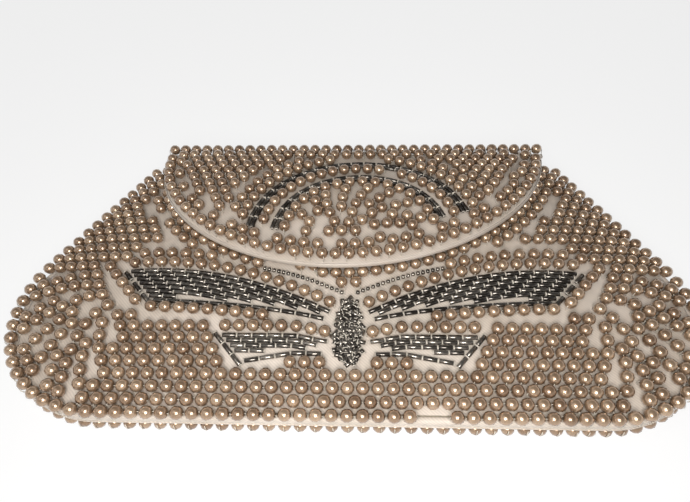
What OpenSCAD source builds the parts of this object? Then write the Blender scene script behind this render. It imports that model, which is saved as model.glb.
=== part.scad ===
// Beaded evening clutch: a flat satin pouch with a fold-over half-round flap, covered in
// sewn pearls, with a bow and two arcs of bugle beads, lying on its back.
// X runs along the width, Y from the bottom edge to the fold, Z up from the table.

/* [Body] */
// Widest width of the fabric body
panel_w = 236; // [222:1:256]
// Depth of the body from its bottom edge to the fold axis
panel_h = 112.5; // [106:0.5:122]
// Radius of the two bottom corners
corner_r = 38.5; // [34:0.5:44]
// Lean of each side away from square to the bottom edge, in degrees
side_lean = 28.5; // [26:0.5:31]
// Width of the rolled seam that joins front and back
welt_w = 2.4; // [1.8:0.1:3]

/* [Cloth] */
// Thickness of the satin cover
satin_t = 0.6; // [0.4:0.05:0.8]
// Thickness of the stiff board in the back and the flap
board_t = 1.0; // [0.8:0.05:1.3]
// Thickness of the soft interlining in the front
interlining_t = 0.8; // [0.5:0.05:1.1]
// Thickness of the lining
lining_t = 0.4; // [0.3:0.05:0.6]
// Gap left between two layers of cloth
layer_gap = 0.05; // [0.03:0.01:0.1]

/* [Pouch] */
// Height of the room inside at the middle of the mouth
room_h = 5.6; // [5:0.1:6]
// Distance from the fold axis to the front panel's top edge
mouth_set = 2.5; // [2:0.1:5]
// Width of the binding on the front panel's top edge
binding_w = 0.8; // [0.5:0.1:1.2]

/* [Fold] */
// Length of cloth between two creases of the fold
strip_l = 4.2; // [4.1:0.05:4.6]
// Width of the fold from side to side
fold_w = 159; // [150:1:161]
// Gap between a crease and the cloth that ends at it
crease_gap = 0.3; // [0.2:0.05:0.4]

/* [Flap] */
// Width of the half-round flap
flap_w = 158; // [148:1:160]
// Drop of the flap from the fold axis to its tip
flap_drop = 61.5; // [57:0.5:66]
// Offset of the flap's tip to the left of the fold's middle, as it was sewn
flap_off = 5; // [3:0.5:7]
// Gap between the flap and the pearls under it
flap_gap = 0.35; // [0.3:0.05:0.6]
// How far the front's pearls run on under the flap
under_flap = 10; // [6:0.5:12]
// Width of the bare satin rim outside the flap's pearls
flap_rim = 1; // [0.7:0.1:2]
// Thickness of the binding round the flap's edge
flap_bind_t = 0.6; // [0.4:0.05:0.8]

/* [Pearls] */
// Diameter of a pearl
pearl_d = 4.5; // [4.2:0.05:4.6]
// Distance between two pearls in a row
pearl_pitch = 4.72; // [4.7:0.01:4.9]
// Distance between two rows of pearls, each set half a step along from the row before
pearl_row = 4.1; // [4.05:0.05:4.6]
// Gap between a pearl and the satin
bead_gap = 0.08; // [0.06:0.01:0.12]
// Overhang of the edge pearls past the fabric
overhang = 1; // [0.6:0.1:1.4]

/* [Bugles] */
// Diameter of a bugle bead
bugle_d = 1.65; // [1.5:0.05:1.7]
// Length of a bugle bead
bugle_l = 4.6; // [4.2:0.1:4.8]
// Distance between two bugle beads in a row
bugle_pitch = 5.1; // [5:0.05:5.5]
// Distance between two rows of bugle beads
bugle_row = 1.8; // [1.75:0.05:2.1]
// Diameter of a seed bead
seed_d = 1.6; // [1.4:0.05:1.7]
// Distance between two seed beads in a line
seed_pitch = 1.85; // [1.8:0.05:2.2]

/* [Bow] */
// Half width of the bow over its upper ribbons
bow_reach = 84; // [78:0.5:87]
// Half width of the bow over its lower ribbons
tail_reach = 46; // [40:0.5:50]
// Distance from the bottom edge to the middle of the knot
knot_y = 29.5; // [28:0.5:31]
// Width of the knot
knot_w = 11.4; // [10.4:0.2:12.4]
// Height of the knot
knot_h = 26; // [23:0.5:27]

/* [Arcs] */
// Radius of the flap's outer arc of bugles, at its outer row
outer_arc_r = 41.8; // [39:0.2:44]
// Radius of the flap's inner arc of bugles, at its outer row
inner_arc_r = 32.5; // [30:0.2:34]
// Distance from the bottom edge to the middle of both arcs
arc_y = 62.4; // [60:0.2:64]
// Offset of both arcs' middle to the right
arc_off = 3.4; // [0:0.2:4]

/* [Snap] */
// Diameter of the snap's socket
socket_d = 11; // [9:0.5:12]
// Height of the snap's socket
socket_h = 2.6; // [2.2:0.1:3]
// Diameter of the stud on the flap
stud_d = 2.6; // [2.2:0.1:3]
// Diameter of the stud's end, to which it tapers inside the socket
stud_tip_d = 1; // [0.6:0.1:1.4]
// Diameter of the stud's plate
stud_plate_d = 10; // [8:0.5:11]
// Height of the stud's plate
stud_plate_t = 1.1; // [0.8:0.1:1.2]
// Gap between stud and socket, all round
snap_gap = 0.9; // [0.8:0.05:1.1]
// Gap between the stud's end and the floor of the socket
snap_floor = 0.6; // [0.5:0.05:0.8]
// How far the stud reaches into its socket
stud_in = 0.8; // [0.6:0.1:1.2]
// Gap between the snap and the cloth that it is sewn to
snap_seat = 0.25; // [0.2:0.05:0.35]
// Distance of the snap from the flap's tip
snap_set = 15; // [14:0.5:18]

/* [Hidden] */

satin_colour = [0.86, 0.77, 0.68];
lining_colour = [0.80, 0.72, 0.64];
board_colour = [0.72, 0.66, 0.56];
pearl_colour = [0.70, 0.60, 0.51];
bugle_colour = [0.22, 0.21, 0.19];
metal_colour = [0.75, 0.74, 0.70];

// Heights of the back's layers: pearls, satin, board, lining
pearl_r = pearl_d / 2;
back_z = pearl_d + layer_gap;
board_z = back_z + satin_t + layer_gap;
back_lining_z = board_z + board_t + layer_gap;
back_top = back_lining_z + lining_t;
cloth_t = back_top - back_z;
axis_z = back_z + cloth_t / 2;

// Heights of the front's layers at the seam, before the crown is added
front_lining_z = back_top + layer_gap;
front_interlining_z = front_lining_z + lining_t + layer_gap;
front_satin_z = front_interlining_z + interlining_t + layer_gap;
front_top_z = front_satin_z + satin_t;

// The fold: four creases, three strips between them, closed to a half turn
creases = 4;
crease_r = cloth_t / 2;
turn = 180 / creases;
cut_back = crease_r + crease_gap;

// Axis of crease k, at rest, in Y and Z, and the direction of the strip that starts there
function crease_at(k) = k == 1
    ? [panel_h, axis_z]
    : crease_at(k - 1) + strip_l * [cos(turn * (k - 1)), sin(turn * (k - 1))];
flap_axis = crease_at(creases);

// Half widths of the body at a distance y from the bottom edge, drawn in by an inset
corner_x = panel_w / 2 - corner_r;
tangent_y = corner_r * (1 + sin(side_lean));
tangent_x = corner_x + corner_r * cos(side_lean);
function half_w(y, inset = 0) = inset < corner_r && y < tangent_y - inset * sin(side_lean)
    ? corner_x + sqrt(max(0, pow(corner_r - inset, 2) - pow(corner_r - y, 2)))
    : tangent_x - inset / cos(side_lean) - (y - tangent_y) * tan(side_lean);

// Crown of the front over the room inside, zero at the seam and full at the mouth
crown_side = 4;
crown_rise = 3;
function crown(x, y) = room_h
    * (1 - pow(min(1, abs(x) / half_w(y)), crown_side))
    * (1 - pow(1 - max(0, min(1, y / panel_h)), crown_rise));
front_edge_y = panel_h - mouth_set;

// Flap edge: a half ellipse hung from the fold axis, its tip drawn to the left
flap_a = flap_w / 2;
flap_r = norm([flap_a, flap_off]);
flap_skew = atan2(flap_off, flap_a);
function flap_at(a, b, t) = [a * cos(t) - flap_off * sin(t), panel_h - b * sin(t)];
function flap_edge_y(x) = panel_h
    - flap_drop * max(0, sin(acos(max(-1, min(1, x / flap_r))) - flap_skew));
flap_root_y = panel_h - cut_back;
flap_root_z = flap_axis[1] - crease_r;

// Underside of the flap: it climbs from the fold and is clear of the front's pearls at the rim
flap_rise_end = 0.62;
function smooth(t) = t <= 0 ? 0 : t >= 1 ? 1 : t * t * (3 - 2 * t);
function flap_share(x, y) = (flap_root_y - y) / max(0.5, flap_root_y - flap_edge_y(x));
function rim_under(x, y) = front_top_z + pearl_d + bead_gap + flap_gap + crown(x, y);
function flap_under(x, y) = flap_root_z + (rim_under(x, y) - flap_root_z)
    * sin(90 * max(-0.2, min(1, flap_share(x, y) / flap_rise_end)));
flap_board_up = lining_t + layer_gap;
flap_satin_up = flap_board_up + board_t + layer_gap;

// Tops of the front and the flap, where beads are sewn, and the square to them
function front_top(x, y) = front_top_z + crown(x, y);
function flap_top(x, y) = flap_under(x, y) + cloth_t;
probe = 0.5;
function top_of(flap, x, y) = flap ? flap_top(x, y) : front_top(x, y);
function square_to(flap, x, y) =
    let (sx = top_of(flap, x + probe, y) - top_of(flap, x - probe, y))
    let (sy = top_of(flap, x, y + probe) - top_of(flap, x, y - probe))
    let (n = [-sx, -sy, 2 * probe])
    n / norm(n);
function bead_at(flap, p, r) =
    [p[0], p[1], top_of(flap, p[0], p[1])] + (r + bead_gap) * square_to(flap, p[0], p[1]);

// The frame's origin is under the middle of the whole bag
edge_inset = pearl_r - overhang;
low_y = bead_at(false, [0, edge_inset], pearl_r)[1] - pearl_r;
high_y = crease_at(2)[0] + crease_r + bead_gap + 2 * pearl_r;
mid_y = (low_y + high_y) / 2;
module placed() {
    translate([0, -mid_y, 0]) children();
}

// One row of pearls parallel to the sides and the bottom, given half from the middle of
// the bottom edge, round the corner and up the side
function row_corner_x(inset) = inset < corner_r ? corner_x : half_w(inset, inset);
function row_bottom(inset, step) =
    let (reach = row_corner_x(inset))
    let (n = max(1, floor(reach / step)))
    [for (i = [0 : n]) [reach * i / n, inset]];
function row_corner(inset, step) =
    let (r = corner_r - inset)
    let (sweep = 90 + side_lean)
    let (n = r > step / 2 ? floor(sweep / (2 * asin(step / 2 / r))) : 0)
    n < 1 ? [] : [for (i = [1 : n])
        [corner_x + r * sin(sweep * i / n), corner_r - r * cos(sweep * i / n)]];
function row_side(inset, step, top) =
    let (r = corner_r - inset)
    let (from_y = r > 0 ? corner_r + r * sin(side_lean) : inset)
    let (n = floor((top - from_y) / cos(side_lean) / step))
    n < 1 ? [] : [for (i = [1 : n]) let (y = from_y + i * step * cos(side_lean))
        [half_w(y, inset), y]];
function row_half(inset, step, top) = concat(
    row_bottom(inset, step), row_corner(inset, step), row_side(inset, step, top));
function mirrored(points) = concat(points, [for (p = points) if (p[0] > 0.01) [-p[0], p[1]]]);
function turned_to(side, path) = [for (p = path) [side * p[0], p[1]]];

// Keeps the points of one list that lie clear of all points of another
function is_clear(p, others, gap) =
    len([for (o = others) if (abs(o[0] - p[0]) < gap && norm(o - p) < gap) 1]) == 0;
function clear_of(points, others, gap) = [for (p = points) if (is_clear(p, others, gap)) p];

// Places along a finely stepped path, at least a step apart, that a test lets through
far = 1000;
function spaced(path, step, fits) = [
    for (i = 0, on = fits(path[0]), last = on ? path[0] : [far, far]; i < len(path);
        i = i + 1,
        on = i < len(path) && norm(path[i] - last) >= step && fits(path[i]),
        last = on ? path[i] : last)
    if (on) path[i]];

// Pearls along a list of paths, each path sewn where the paths before it leave room. Paths
// are given as fine steps.
fine = pearl_pitch / 16;
pearl_clear = 0.06;
fill_gap = pearl_d + pearl_clear;
function sewn(paths, open, done = [], i = 0) = i == len(paths)
    ? done
    : sewn(paths, open, concat(done, spaced(paths[i], pearl_pitch,
        function (p) open(p) && is_clear(p, done, fill_gap))), i + 1);

// The bow's upper ribbon, right half: top edge, width and slope at a distance x from the
// middle, and where its slanted end lies
ribbon_x = knot_w / 2;
upper_root_y = knot_y + 7;
upper_rise = 0.4;
upper_bend = 0.0041;
upper_bend_from = 0.46 * bow_reach;
upper_root_w = 4.6;
upper_grow_w = 9.8;
upper_grow_l = 0.7 * bow_reach;
upper_lean = 0.93;
function upper_top(x) = upper_root_y + upper_rise * (x - ribbon_x)
    - upper_bend * (x - ribbon_x) * (x - upper_bend_from);
function upper_w(x) = upper_root_w
    + upper_grow_w * sin(90 * min(1, (x - ribbon_x) / upper_grow_l));
// The lower ribbon, right half
lower_root_y = knot_y - 3.4;
lower_rise = 2;
lower_rise_l = 14;
lower_root_w = 5.6;
lower_grow_w = 5.8;
lower_end_l = 8;
lower_grow_l = tail_reach - ribbon_x - lower_end_l;
lower_lean = 0.9;
function lower_top(x) = lower_root_y + lower_rise * smooth((x - ribbon_x) / lower_rise_l);
function lower_w(x) = lower_root_w + lower_grow_w * min(1, (x - ribbon_x) / lower_grow_l);

function ribbon_top(upper, x) = upper ? upper_top(x) : lower_top(x);
function ribbon_w(upper, x) = upper ? upper_w(x) : lower_w(x);
function ribbon_lean(upper) = upper ? upper_lean : lower_lean;
function ribbon_end(upper, y_in) = (upper ? bow_reach : tail_reach) - ribbon_lean(upper) * y_in;
function end_gap(upper, d) = d * norm([1, ribbon_lean(upper)]);
function ribbon_low(upper, x) = ribbon_top(upper, x) - ribbon_w(upper, x);
// Length of a ribbon's slanted end, measured down from its upper corner
end_back = 6;
function end_reach(upper) = ribbon_w(upper, ribbon_end(upper, 0) - end_back);
function end_x(upper, y) = ribbon_end(upper, ribbon_top(upper, ribbon_end(upper, 0)) - y);

// A line at a set distance inside the ribbon's top edge or its lower edge
function ribbon_line(upper, from_top, d, x) = from_top
    ? ribbon_top(upper, x) - d / cos(line_slope(upper, true, x))
    : ribbon_low(upper, x) + d / cos(line_slope(upper, false, x));
function line_slope(upper, from_top, x) = from_top
    ? atan2(ribbon_top(upper, x + probe) - ribbon_top(upper, x - probe), 2 * probe)
    : atan2(ribbon_low(upper, x + probe) - ribbon_low(upper, x - probe), 2 * probe);
function walk(upper, from_top, x, end, step) = (x - end) * sign(step) > 0
    ? []
    : concat([x], walk(upper, from_top, x + step * cos(line_slope(upper, from_top, x)), end, step));

// Where a point lies against the bow: inside a ribbon or the knot, grown by a margin
function in_ribbon(upper, p, m) =
    let (x = abs(p[0]))
    x > ribbon_x - m
    && p[1] < ribbon_top(upper, x) + m && p[1] > ribbon_low(upper, max(ribbon_x, x)) - m
    && x < ribbon_end(upper, max(0, ribbon_top(upper, x) - p[1])) + end_gap(upper, m);
knot_taper = 0.2;
function knot_wide(y) = knot_w / 2 * (1 - knot_taper * max(-1, min(1, 2 * (y - knot_y) / knot_h)));
knot_blunt = 2.6;
function in_knot(p, m) = pow(abs(p[0]) / (knot_wide(p[1]) + m), knot_blunt)
    + pow(abs(p[1] - knot_y) / (knot_h / 2 + m), knot_blunt) < 1;
function in_bow(p, m) = in_ribbon(true, p, m) || in_ribbon(false, p, m) || in_knot(p, m);

// The two lines of seed beads that rise from the knot and pass under the flap
knot_top_y = knot_y + knot_h / 2;
seed_start = [2.8, knot_top_y + 1.4];
seed_left_end = [-31, 53.8];
seed_right_end = [33, 54.2];
seed_bow = 1.1;
function seed_line(end) =
    let (start = [sign(end[0]) * seed_start[0], seed_start[1]])
    let (n = floor(norm(end - start) / seed_pitch))
    [for (i = [0 : n]) start + (end - start) * i / n + [0, seed_bow * sin(180 * i / n)]];
seed_points = concat(seed_line(seed_left_end), seed_line(seed_right_end));

// Pearls of the front: rows along the ribbons and along the flap's edge first, then rows
// along the body's outline
bow_gap = 0.1;
bugle_r = bugle_d / 2;
seed_r = seed_d / 2;
// Distance on the cloth between a pearl and a smaller bead of radius r beside it
function aside(r, gap) = sqrt(pow(pearl_r + r + gap, 2) - pow(pearl_r - r, 2));
bow_margin = aside(bugle_r, bow_gap) - bugle_r;
contour = bow_margin + bow_gap;
seed_clear = aside(seed_r, bow_gap);
snap_at = [-flap_off, panel_h - flap_drop + snap_set];
beside_flap = -0.3;
// How far the rows along the ribbons start from the knot and stop short of the bow's ends
row_root = 1;
top_row_short = 1;
second_row_short = 4;
low_row_short = 14;
function contour_row(upper, from_top, d, end) = [
    for (x = walk(upper, from_top, ribbon_x + row_root, end, fine))
    [x, ribbon_line(upper, from_top, -d, x)]];
function end_row(upper, out) =
    let (n = floor((end_reach(upper) + out) / fine))
    [for (i = [0 : n]) let (y = ribbon_top(upper, ribbon_end(upper, 0)) + out / 2 - i * fine)
        [end_x(upper, y) + end_gap(upper, out), y]];
function flap_path(out, side) =
    let (a = flap_a + out)
    let (b = flap_drop + out)
    let (end = 90 + acos(flap_first / b))
    [for (t = oval_walk(a, b, 90, end, fine)) flap_at(-side * a, b, t)];
function flap_paths(out) = [for (side = [1, -1]) flap_path(out, side)];
function bow_paths() = concat(
    flap_paths(beside_flap),
    both_sides(contour_row(true, true, contour, bow_reach - top_row_short)),
    both_sides(end_row(true, contour)),
    both_sides(contour_row(false, true, contour, tail_reach)),
    both_sides(contour_row(true, false, contour, bow_reach - low_row_short)),
    both_sides(contour_row(true, true, contour + pearl_row, bow_reach - second_row_short)),
    flap_paths(beside_flap + pearl_row));
function both_sides(path) = [for (side = [1, -1]) turned_to(side, path)];
under_share = 0.35;
function flap_cover(p) = p[1] - flap_edge_y(p[0]);
function open_to_pearls(p) =
    flap_cover(p) < min(under_flap, under_share * (panel_h - flap_edge_y(p[0])))
    && norm(p - snap_at) > socket_d / 2 + pearl_d
    && !in_bow(p, bow_margin);
border_rows = 3;
field_rows = 17;
field_inset = edge_inset + border_rows * pearl_row;
front_top_y = front_edge_y - pearl_r;
// Every other row starts half a step from the middle, so that rows stand in a brick pattern
function outline_path(k) = [for (p = row_half(edge_inset + k * pearl_row, fine, front_top_y))
    if (p[0] >= (k % 2) * pearl_pitch / 2) p];
function outline_paths(first, last) = [for (k = [first : last]) each both_sides(outline_path(k))];
function front_border() = sewn(outline_paths(0, border_rows - 1), function (p) open_to_pearls(p));
slack = 0.05;
function in_field(p) = p[1] > field_inset - slack && p[1] < front_top_y + slack
    && abs(p[0]) < half_w(p[1], field_inset) + slack
    && open_to_pearls(p) && is_clear(p, seed_points, seed_clear);
function front_field() =
    let (border = front_border())
    let (all = sewn(concat(bow_paths(), outline_paths(border_rows, field_rows)),
        function (p) in_field(p), border))
    [for (i = [len(border) : len(all) - 1]) all[i]];
// Places where a pearl has come off
lost_front = [[-75.4, 80.2], [-70.3, 32.2], [23.5, 1.3], [28.2, 1.3]];
lost_flap = [[16.6, 95.1]];
lost_reach = 2.3;

// Pearls of the back: two rows along the outline, then rows parallel to the fold
back_rows = 2;
back_rim_top = flap_root_y - strip_l / 2 + 2 * slack;
function back_rim() = mirrored([for (k = [0 : back_rows - 1])
    each row_half(edge_inset + k * pearl_pitch, pearl_pitch, back_rim_top)]);
fold_count = floor(fold_w / pearl_pitch);
function fold_row(n, y) = [for (i = [0 : n - 1]) [(i - (n - 1) / 2) * pearl_pitch, y]];
function back_field() =
    let (top = panel_h - strip_l / 2)
    let (fit = [for (k = [0 : floor((top - edge_inset) / pearl_pitch)])
        let (y = top - k * pearl_pitch)
        let (n = 2 * floor((half_w(y) + pearl_pitch) / pearl_pitch) + 1 - k % 2)
        for (p = fold_row(n, y))
        if (abs(p[0]) < half_w(y, edge_inset + back_rows * pearl_pitch)
            && y > edge_inset + back_rows * pearl_pitch) p])
    clear_of(fit, back_rim(), fill_gap);
back_split_x = panel_w / 7;

// Pearls of the flap: two rows along its edge, one between the arcs, rows inside the
// inner arc, then rows parallel to the fold
arc_mid = [arc_off, arc_y];
arc_start = 17.5;
arc_end = 173.5;
function oval_turn(a, b, t, step) = step / norm([a * sin(t), b * cos(t)]) * 180 / PI;
function oval_walk(a, b, t, end, step) = t > end
    ? []
    : concat([t], oval_walk(a, b,
        t + oval_turn(a, b, t + oval_turn(a, b, t, step) / 2, step), end, step));
function arc_row(r, from, to, step) =
    let (n = max(1, floor((to - from) / (2 * asin(min(1, step / 2 / r))))))
    [for (i = [0 : n]) arc_mid + r * [cos(from + (to - from) * i / n),
        sin(from + (to - from) * i / n)]];
function in_arc(p, r, m) =
    let (q = p - arc_mid)
    let (t = atan2(q[1], q[0]))
    let (d = norm(q))
    d < r + bugle_r + m && d > r - bugle_row - bugle_r - m
    && t > arc_start - m / r * 180 / PI && t < arc_end + m / r * 180 / PI;
flap_first_set = 0.8;
flap_first = strip_l / 2 + flap_first_set;
between_r = (outer_arc_r - bugle_row + inner_arc_r) / 2;
inner_rows = 6;
inner_sweep = [-40, 220];
function flap_rows() =
    let (inset = flap_rim + pearl_r)
    let (rim = [for (k = [0, 1]) each flap_paths(-inset - k * pearl_row)])
    let (mid = arc_row(between_r, arc_start + 1, arc_end, fine))
    let (inner = [for (k = [0 : inner_rows - 1])
        arc_row(inner_arc_r - bugle_row - contour - bugle_r - k * pearl_row,
            inner_sweep[0], inner_sweep[1], fine)])
    let (rings = [for (k = [0, 1])
        arc_row(outer_arc_r + bugle_r + contour + k * pearl_row, 0, 180, fine)])
    let (straight = [for (k = [0 : floor(flap_drop / pearl_row)])
        let (half = (fold_count + k % 2 - 1) / 2 * pearl_pitch)
        [for (x = [-half : fine : half]) [x, panel_h - flap_first - k * pearl_row]]])
    sewn(concat(rim, [straight[0], mid], inner, rings, straight),
        function (p) flap_open(p));
function flap_open(p) = !in_arc(p, outer_arc_r, bow_margin)
    && !in_arc(p, inner_arc_r, bow_margin)
    && rim_depth(p) > flap_rim + pearl_r - 4 * slack
    && p[1] < panel_h - flap_first + 2 * slack;
function rim_depth(p) =
    let (drop = (panel_h - p[1]) / flap_drop)
    let (q = [(p[0] + flap_off * drop) / flap_a, drop])
    (1 - norm(q)) * norm([q[0] * flap_a, q[1] * flap_drop]) / max(0.01, norm(q));

// Outline of the body as a flat shape, drawn in by an inset and cut at its top edge
module outline(inset, top) {
    r = corner_r - inset;
    low = [half_w(tangent_y - inset * sin(side_lean), inset), tangent_y - inset * sin(side_lean)];
    up = [half_w(top, inset), top];
    polygon([[-corner_x, inset], [corner_x, inset], low, up, [-up[0], up[1]], [-low[0], low[1]]]);
    for (side = [-1, 1]) {
        translate([side * corner_x, corner_r]) circle(r = r, $fn = 96);
    }
}

// A sheet of cloth over a grid of points, given by its low and high corners
module sheet(low, high) {
    rows = len(low);
    cols = len(low[0]);
    count = rows * cols;
    points = concat([for (row = low) each row], [for (row = high) each row]);
    top = [for (j = [0 : rows - 2]) for (i = [0 : cols - 2])
        let (a = j * cols + i + count)
        each [[a, a + cols, a + cols + 1], [a, a + cols + 1, a + 1]]];
    bottom = [for (j = [0 : rows - 2]) for (i = [0 : cols - 2])
        let (a = j * cols + i)
        each [[a, a + cols + 1, a + cols], [a, a + 1, a + cols + 1]]];
    loop = concat([for (i = [0 : cols - 2]) i],
        [for (j = [0 : rows - 2]) j * cols + cols - 1],
        [for (i = [cols - 1 : -1 : 1]) (rows - 1) * cols + i],
        [for (j = [rows - 1 : -1 : 1]) j * cols]);
    wall = [for (i = [0 : len(loop) - 1])
        let (a = loop[i])
        let (b = loop[(i + 1) % len(loop)])
        each [[a, a + count, b], [b, a + count, b + count]]];
    polyhedron(points, concat(top, bottom, wall));
}

// Grid of the front: rows follow the corner and then the side, columns share the width
grid_cols = 24;
front_inset = welt_w + layer_gap;
front_ys = concat(
    [for (i = [0 : 8]) let (t = (90 + side_lean) * i / 8)
        corner_r - (corner_r - front_inset) * cos(t)],
    [for (i = [1 : 6]) let (from = corner_r + (corner_r - front_inset) * sin(side_lean))
        from + (front_edge_y - from) * i / 6]);
function front_grid(z) = [for (y = front_ys) [for (i = [0 : grid_cols])
    let (x = half_w(y, front_inset) * (2 * i / grid_cols - 1))
    [x, y, z + crown(x, y)]]];
module front_sheet(z, t) {
    sheet(front_grid(z), front_grid(z + t));
}

// Grid of the flap: rows follow the edge's ellipse from the fold to the tip
flap_tip_angle = 86;
flap_root_angle = asin(cut_back / flap_drop);
flap_rows_n = 14;
flap_cols_n = 22;
function flap_grid(up, inset) = [for (j = [0 : flap_rows_n]) [for (i = [0 : flap_cols_n])
    let (t = flap_root_angle + (flap_tip_angle - flap_root_angle) * j / flap_rows_n)
    let (y = j == 0 ? flap_root_y : panel_h - (flap_drop - inset) * sin(t))
    let (x = (flap_a - inset) * cos(t) * (1 - 2 * i / flap_cols_n) - flap_off * sin(t))
    [x, y, flap_under(x, y) + up]]];
module flap_sheet(up, t) {
    sheet(flap_grid(up, flap_bind_t + layer_gap), flap_grid(up + t, flap_bind_t + layer_gap));
}

// A straight bead between two points, and a group of pearls
module rod(p, q, r) {
    d = q - p;
    translate(p) rotate([0, acos(d[2] / norm(d)), atan2(d[1], d[0])])
        cylinder(h = norm(d), r = r, $fn = 24);
}
module pearl(p) {
    translate(p) sphere(d = pearl_d, $fn = 16);
}
module pearls_on(flap, points) {
    for (p = points) pearl(bead_at(flap, p, pearl_r));
}
module bugle_on(flap, p, heading, length) {
    half = length / 2 * [cos(heading), sin(heading)];
    rod(bead_at(flap, p - half, bugle_r), bead_at(flap, p + half, bugle_r), bugle_r);
}

module back_satin() {
    color(satin_colour) placed() translate([0, 0, back_z])
        linear_extrude(satin_t) outline(0, flap_root_y);
}
module back_board() {
    color(board_colour) placed() translate([0, 0, board_z])
        linear_extrude(board_t) outline(front_inset, flap_root_y);
}
module back_lining() {
    color(lining_colour) placed() translate([0, 0, back_lining_z])
        linear_extrude(lining_t) outline(front_inset, flap_root_y);
}
module edge_welt() {
    color(satin_colour) placed() translate([0, 0, board_z])
        linear_extrude(front_top_z - board_z) difference() {
            outline(0, front_edge_y);
            outline(welt_w, front_edge_y + 1);
        }
}
module back_pearls(points) {
    for (p = points) pearl([p[0], p[1], pearl_r]);
}
module back_rim_pearls() {
    color(pearl_colour) placed() back_pearls(back_rim());
}
module back_pearls_left() {
    color(pearl_colour) placed() back_pearls([for (p = back_field()) if (p[0] < -back_split_x) p]);
}
module back_pearls_middle() {
    color(pearl_colour) placed() back_pearls([for (p = back_field()) if (abs(p[0]) <= back_split_x) p]);
}
module back_pearls_right() {
    color(pearl_colour) placed() back_pearls([for (p = back_field()) if (p[0] > back_split_x) p]);
}
module front_lining() {
    color(lining_colour) placed() front_sheet(front_lining_z, lining_t);
}
module front_interlining() {
    color(board_colour) placed() front_sheet(front_interlining_z, interlining_t);
}
module front_satin() {
    color(satin_colour) placed() front_sheet(front_satin_z, satin_t);
}
module mouth_binding() {
    low_edge = front_edge_y + layer_gap;
    function rows(z) = [for (y = [low_edge, low_edge + binding_w]) [for (i = [0 : grid_cols])
        let (x = half_w(y, front_inset) * (2 * i / grid_cols - 1))
        [x, y, z + crown(x, y)]]];
    color(satin_colour) placed() sheet(rows(front_lining_z), rows(front_top_z));
}
module front_border_pearls() {
    color(pearl_colour) placed() pearls_on(false, clear_of(front_border(), lost_front, lost_reach));
}
module front_field_pearls() {
    color(pearl_colour) placed() pearls_on(false, clear_of(front_field(), lost_front, lost_reach));
}

// Bugles of a ribbon, right half, each given as its middle and its heading. Rows follow the
// top edge and start at the slanted end; one last row follows the lower edge.
lanes = 8;
knot_gap = 0.4;
function lane_start(upper, from_top, d) =
    let (rough = ribbon_end(upper, 0) - end_back)
    let (x = end_x(upper, ribbon_line(upper, from_top, d, rough)))
    end_x(upper, ribbon_line(upper, from_top, d, x)) - ribbon_lean(upper) * bugle_r
        - end_gap(upper, bugle_d + bow_gap) - bugle_l / 2;
function lane(upper, from_top, d) = [
    for (x = walk(upper, from_top, lane_start(upper, from_top, d),
        ribbon_x + bugle_l / 2 + knot_gap, -bugle_pitch))
    [x, ribbon_line(upper, from_top, d, x), line_slope(upper, from_top, x)]];
function over_low_row(upper, b) = min([for (e = [-1, 1])
    let (x = b[0] + e * bugle_l / 2 * cos(b[2]))
    (b[1] + e * bugle_l / 2 * sin(b[2]) - ribbon_line(upper, false, bugle_r, x))
        * cos(line_slope(upper, false, x))]);
function ribbon_rows(upper) = concat(
    lane(upper, false, bugle_r),
    [for (k = [0 : lanes - 1]) for (b = lane(upper, true, bugle_r + k * bugle_row))
        if (over_low_row(upper, b) > bugle_d + bow_gap) b]);
function ribbon_end_row(upper) =
    let (reach = end_reach(upper))
    let (n = floor(end_gap(upper, reach) / bugle_pitch))
    let (slope = atan2(1, ribbon_lean(upper)))
    [for (i = [0 : n - 1])
        let (y = ribbon_top(upper, ribbon_end(upper, 0)) - reach * (i + 0.5) / n)
        [end_x(upper, y) - end_gap(upper, bugle_r), y, slope]];
module ribbon(upper, side) {
    for (b = concat(ribbon_rows(upper), ribbon_end_row(upper))) {
        bugle_on(false, [side * b[0], b[1]], side > 0 ? b[2] : 180 - b[2], bugle_l);
    }
}
module upper_ribbon_left() {
    color(bugle_colour) placed() ribbon(true, -1);
}
module upper_ribbon_right() {
    color(bugle_colour) placed() ribbon(true, 1);
}
module lower_ribbon_left() {
    color(bugle_colour) placed() ribbon(false, -1);
}
module lower_ribbon_right() {
    color(bugle_colour) placed() ribbon(false, 1);
}

// The knot: two egg-shaped rings of seed beads round short bugles that stand along it
function blunt(v) = sign(v) * pow(abs(v), 2 / knot_blunt);
function knot_at(inset, t) =
    let (y = knot_y + (knot_h / 2 - inset) * blunt(sin(t)))
    [(knot_wide(y) - inset) * blunt(cos(t)), y];
function knot_ring(inset) =
    let (ring = [for (t = [0 : 0.5 : 359.5]) knot_at(inset, t)])
    spaced(ring, seed_pitch, function (p) p == ring[0] || norm(p - ring[0]) >= seed_pitch * 0.9);
// Half of the width left inside the rings for the middles of bugles of a length that stand at y
knot_end_share = 2 * seed_d / knot_h;
function knot_room(y, length) = min([for (e = [-1, 1])
    let (inset = seed_r + seed_pitch)
    let (s = abs(y + e * length / 2 - knot_y) / (knot_h / 2 - inset))
    s < 1 - knot_end_share ? (knot_wide(y) - inset) * pow(1 - pow(s, knot_blunt), 1 / knot_blunt)
        - seed_r - bugle_r - bow_gap : -1]);
module bow_knot() {
    outer = knot_ring(seed_r);
    inner = clear_of(knot_ring(seed_r + seed_pitch), outer, seed_d + bow_gap / 2);
    short = 2.6;
    rows_up = 4;
    color(bugle_colour) placed() {
        seeds(outer);
        seeds(inner);
        for (row = [-rows_up : rows_up]) {
            y = knot_y + row * (short + 2 * bow_gap);
            room = knot_room(y, short);
            for (x = room > bugle_row / 2 ? [-bugle_row / 2, bugle_row / 2] : [0]) {
                if (room > 0) {
                    bugle_on(false, [x, y], 90, short);
                }
            }
        }
    }
}
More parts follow.
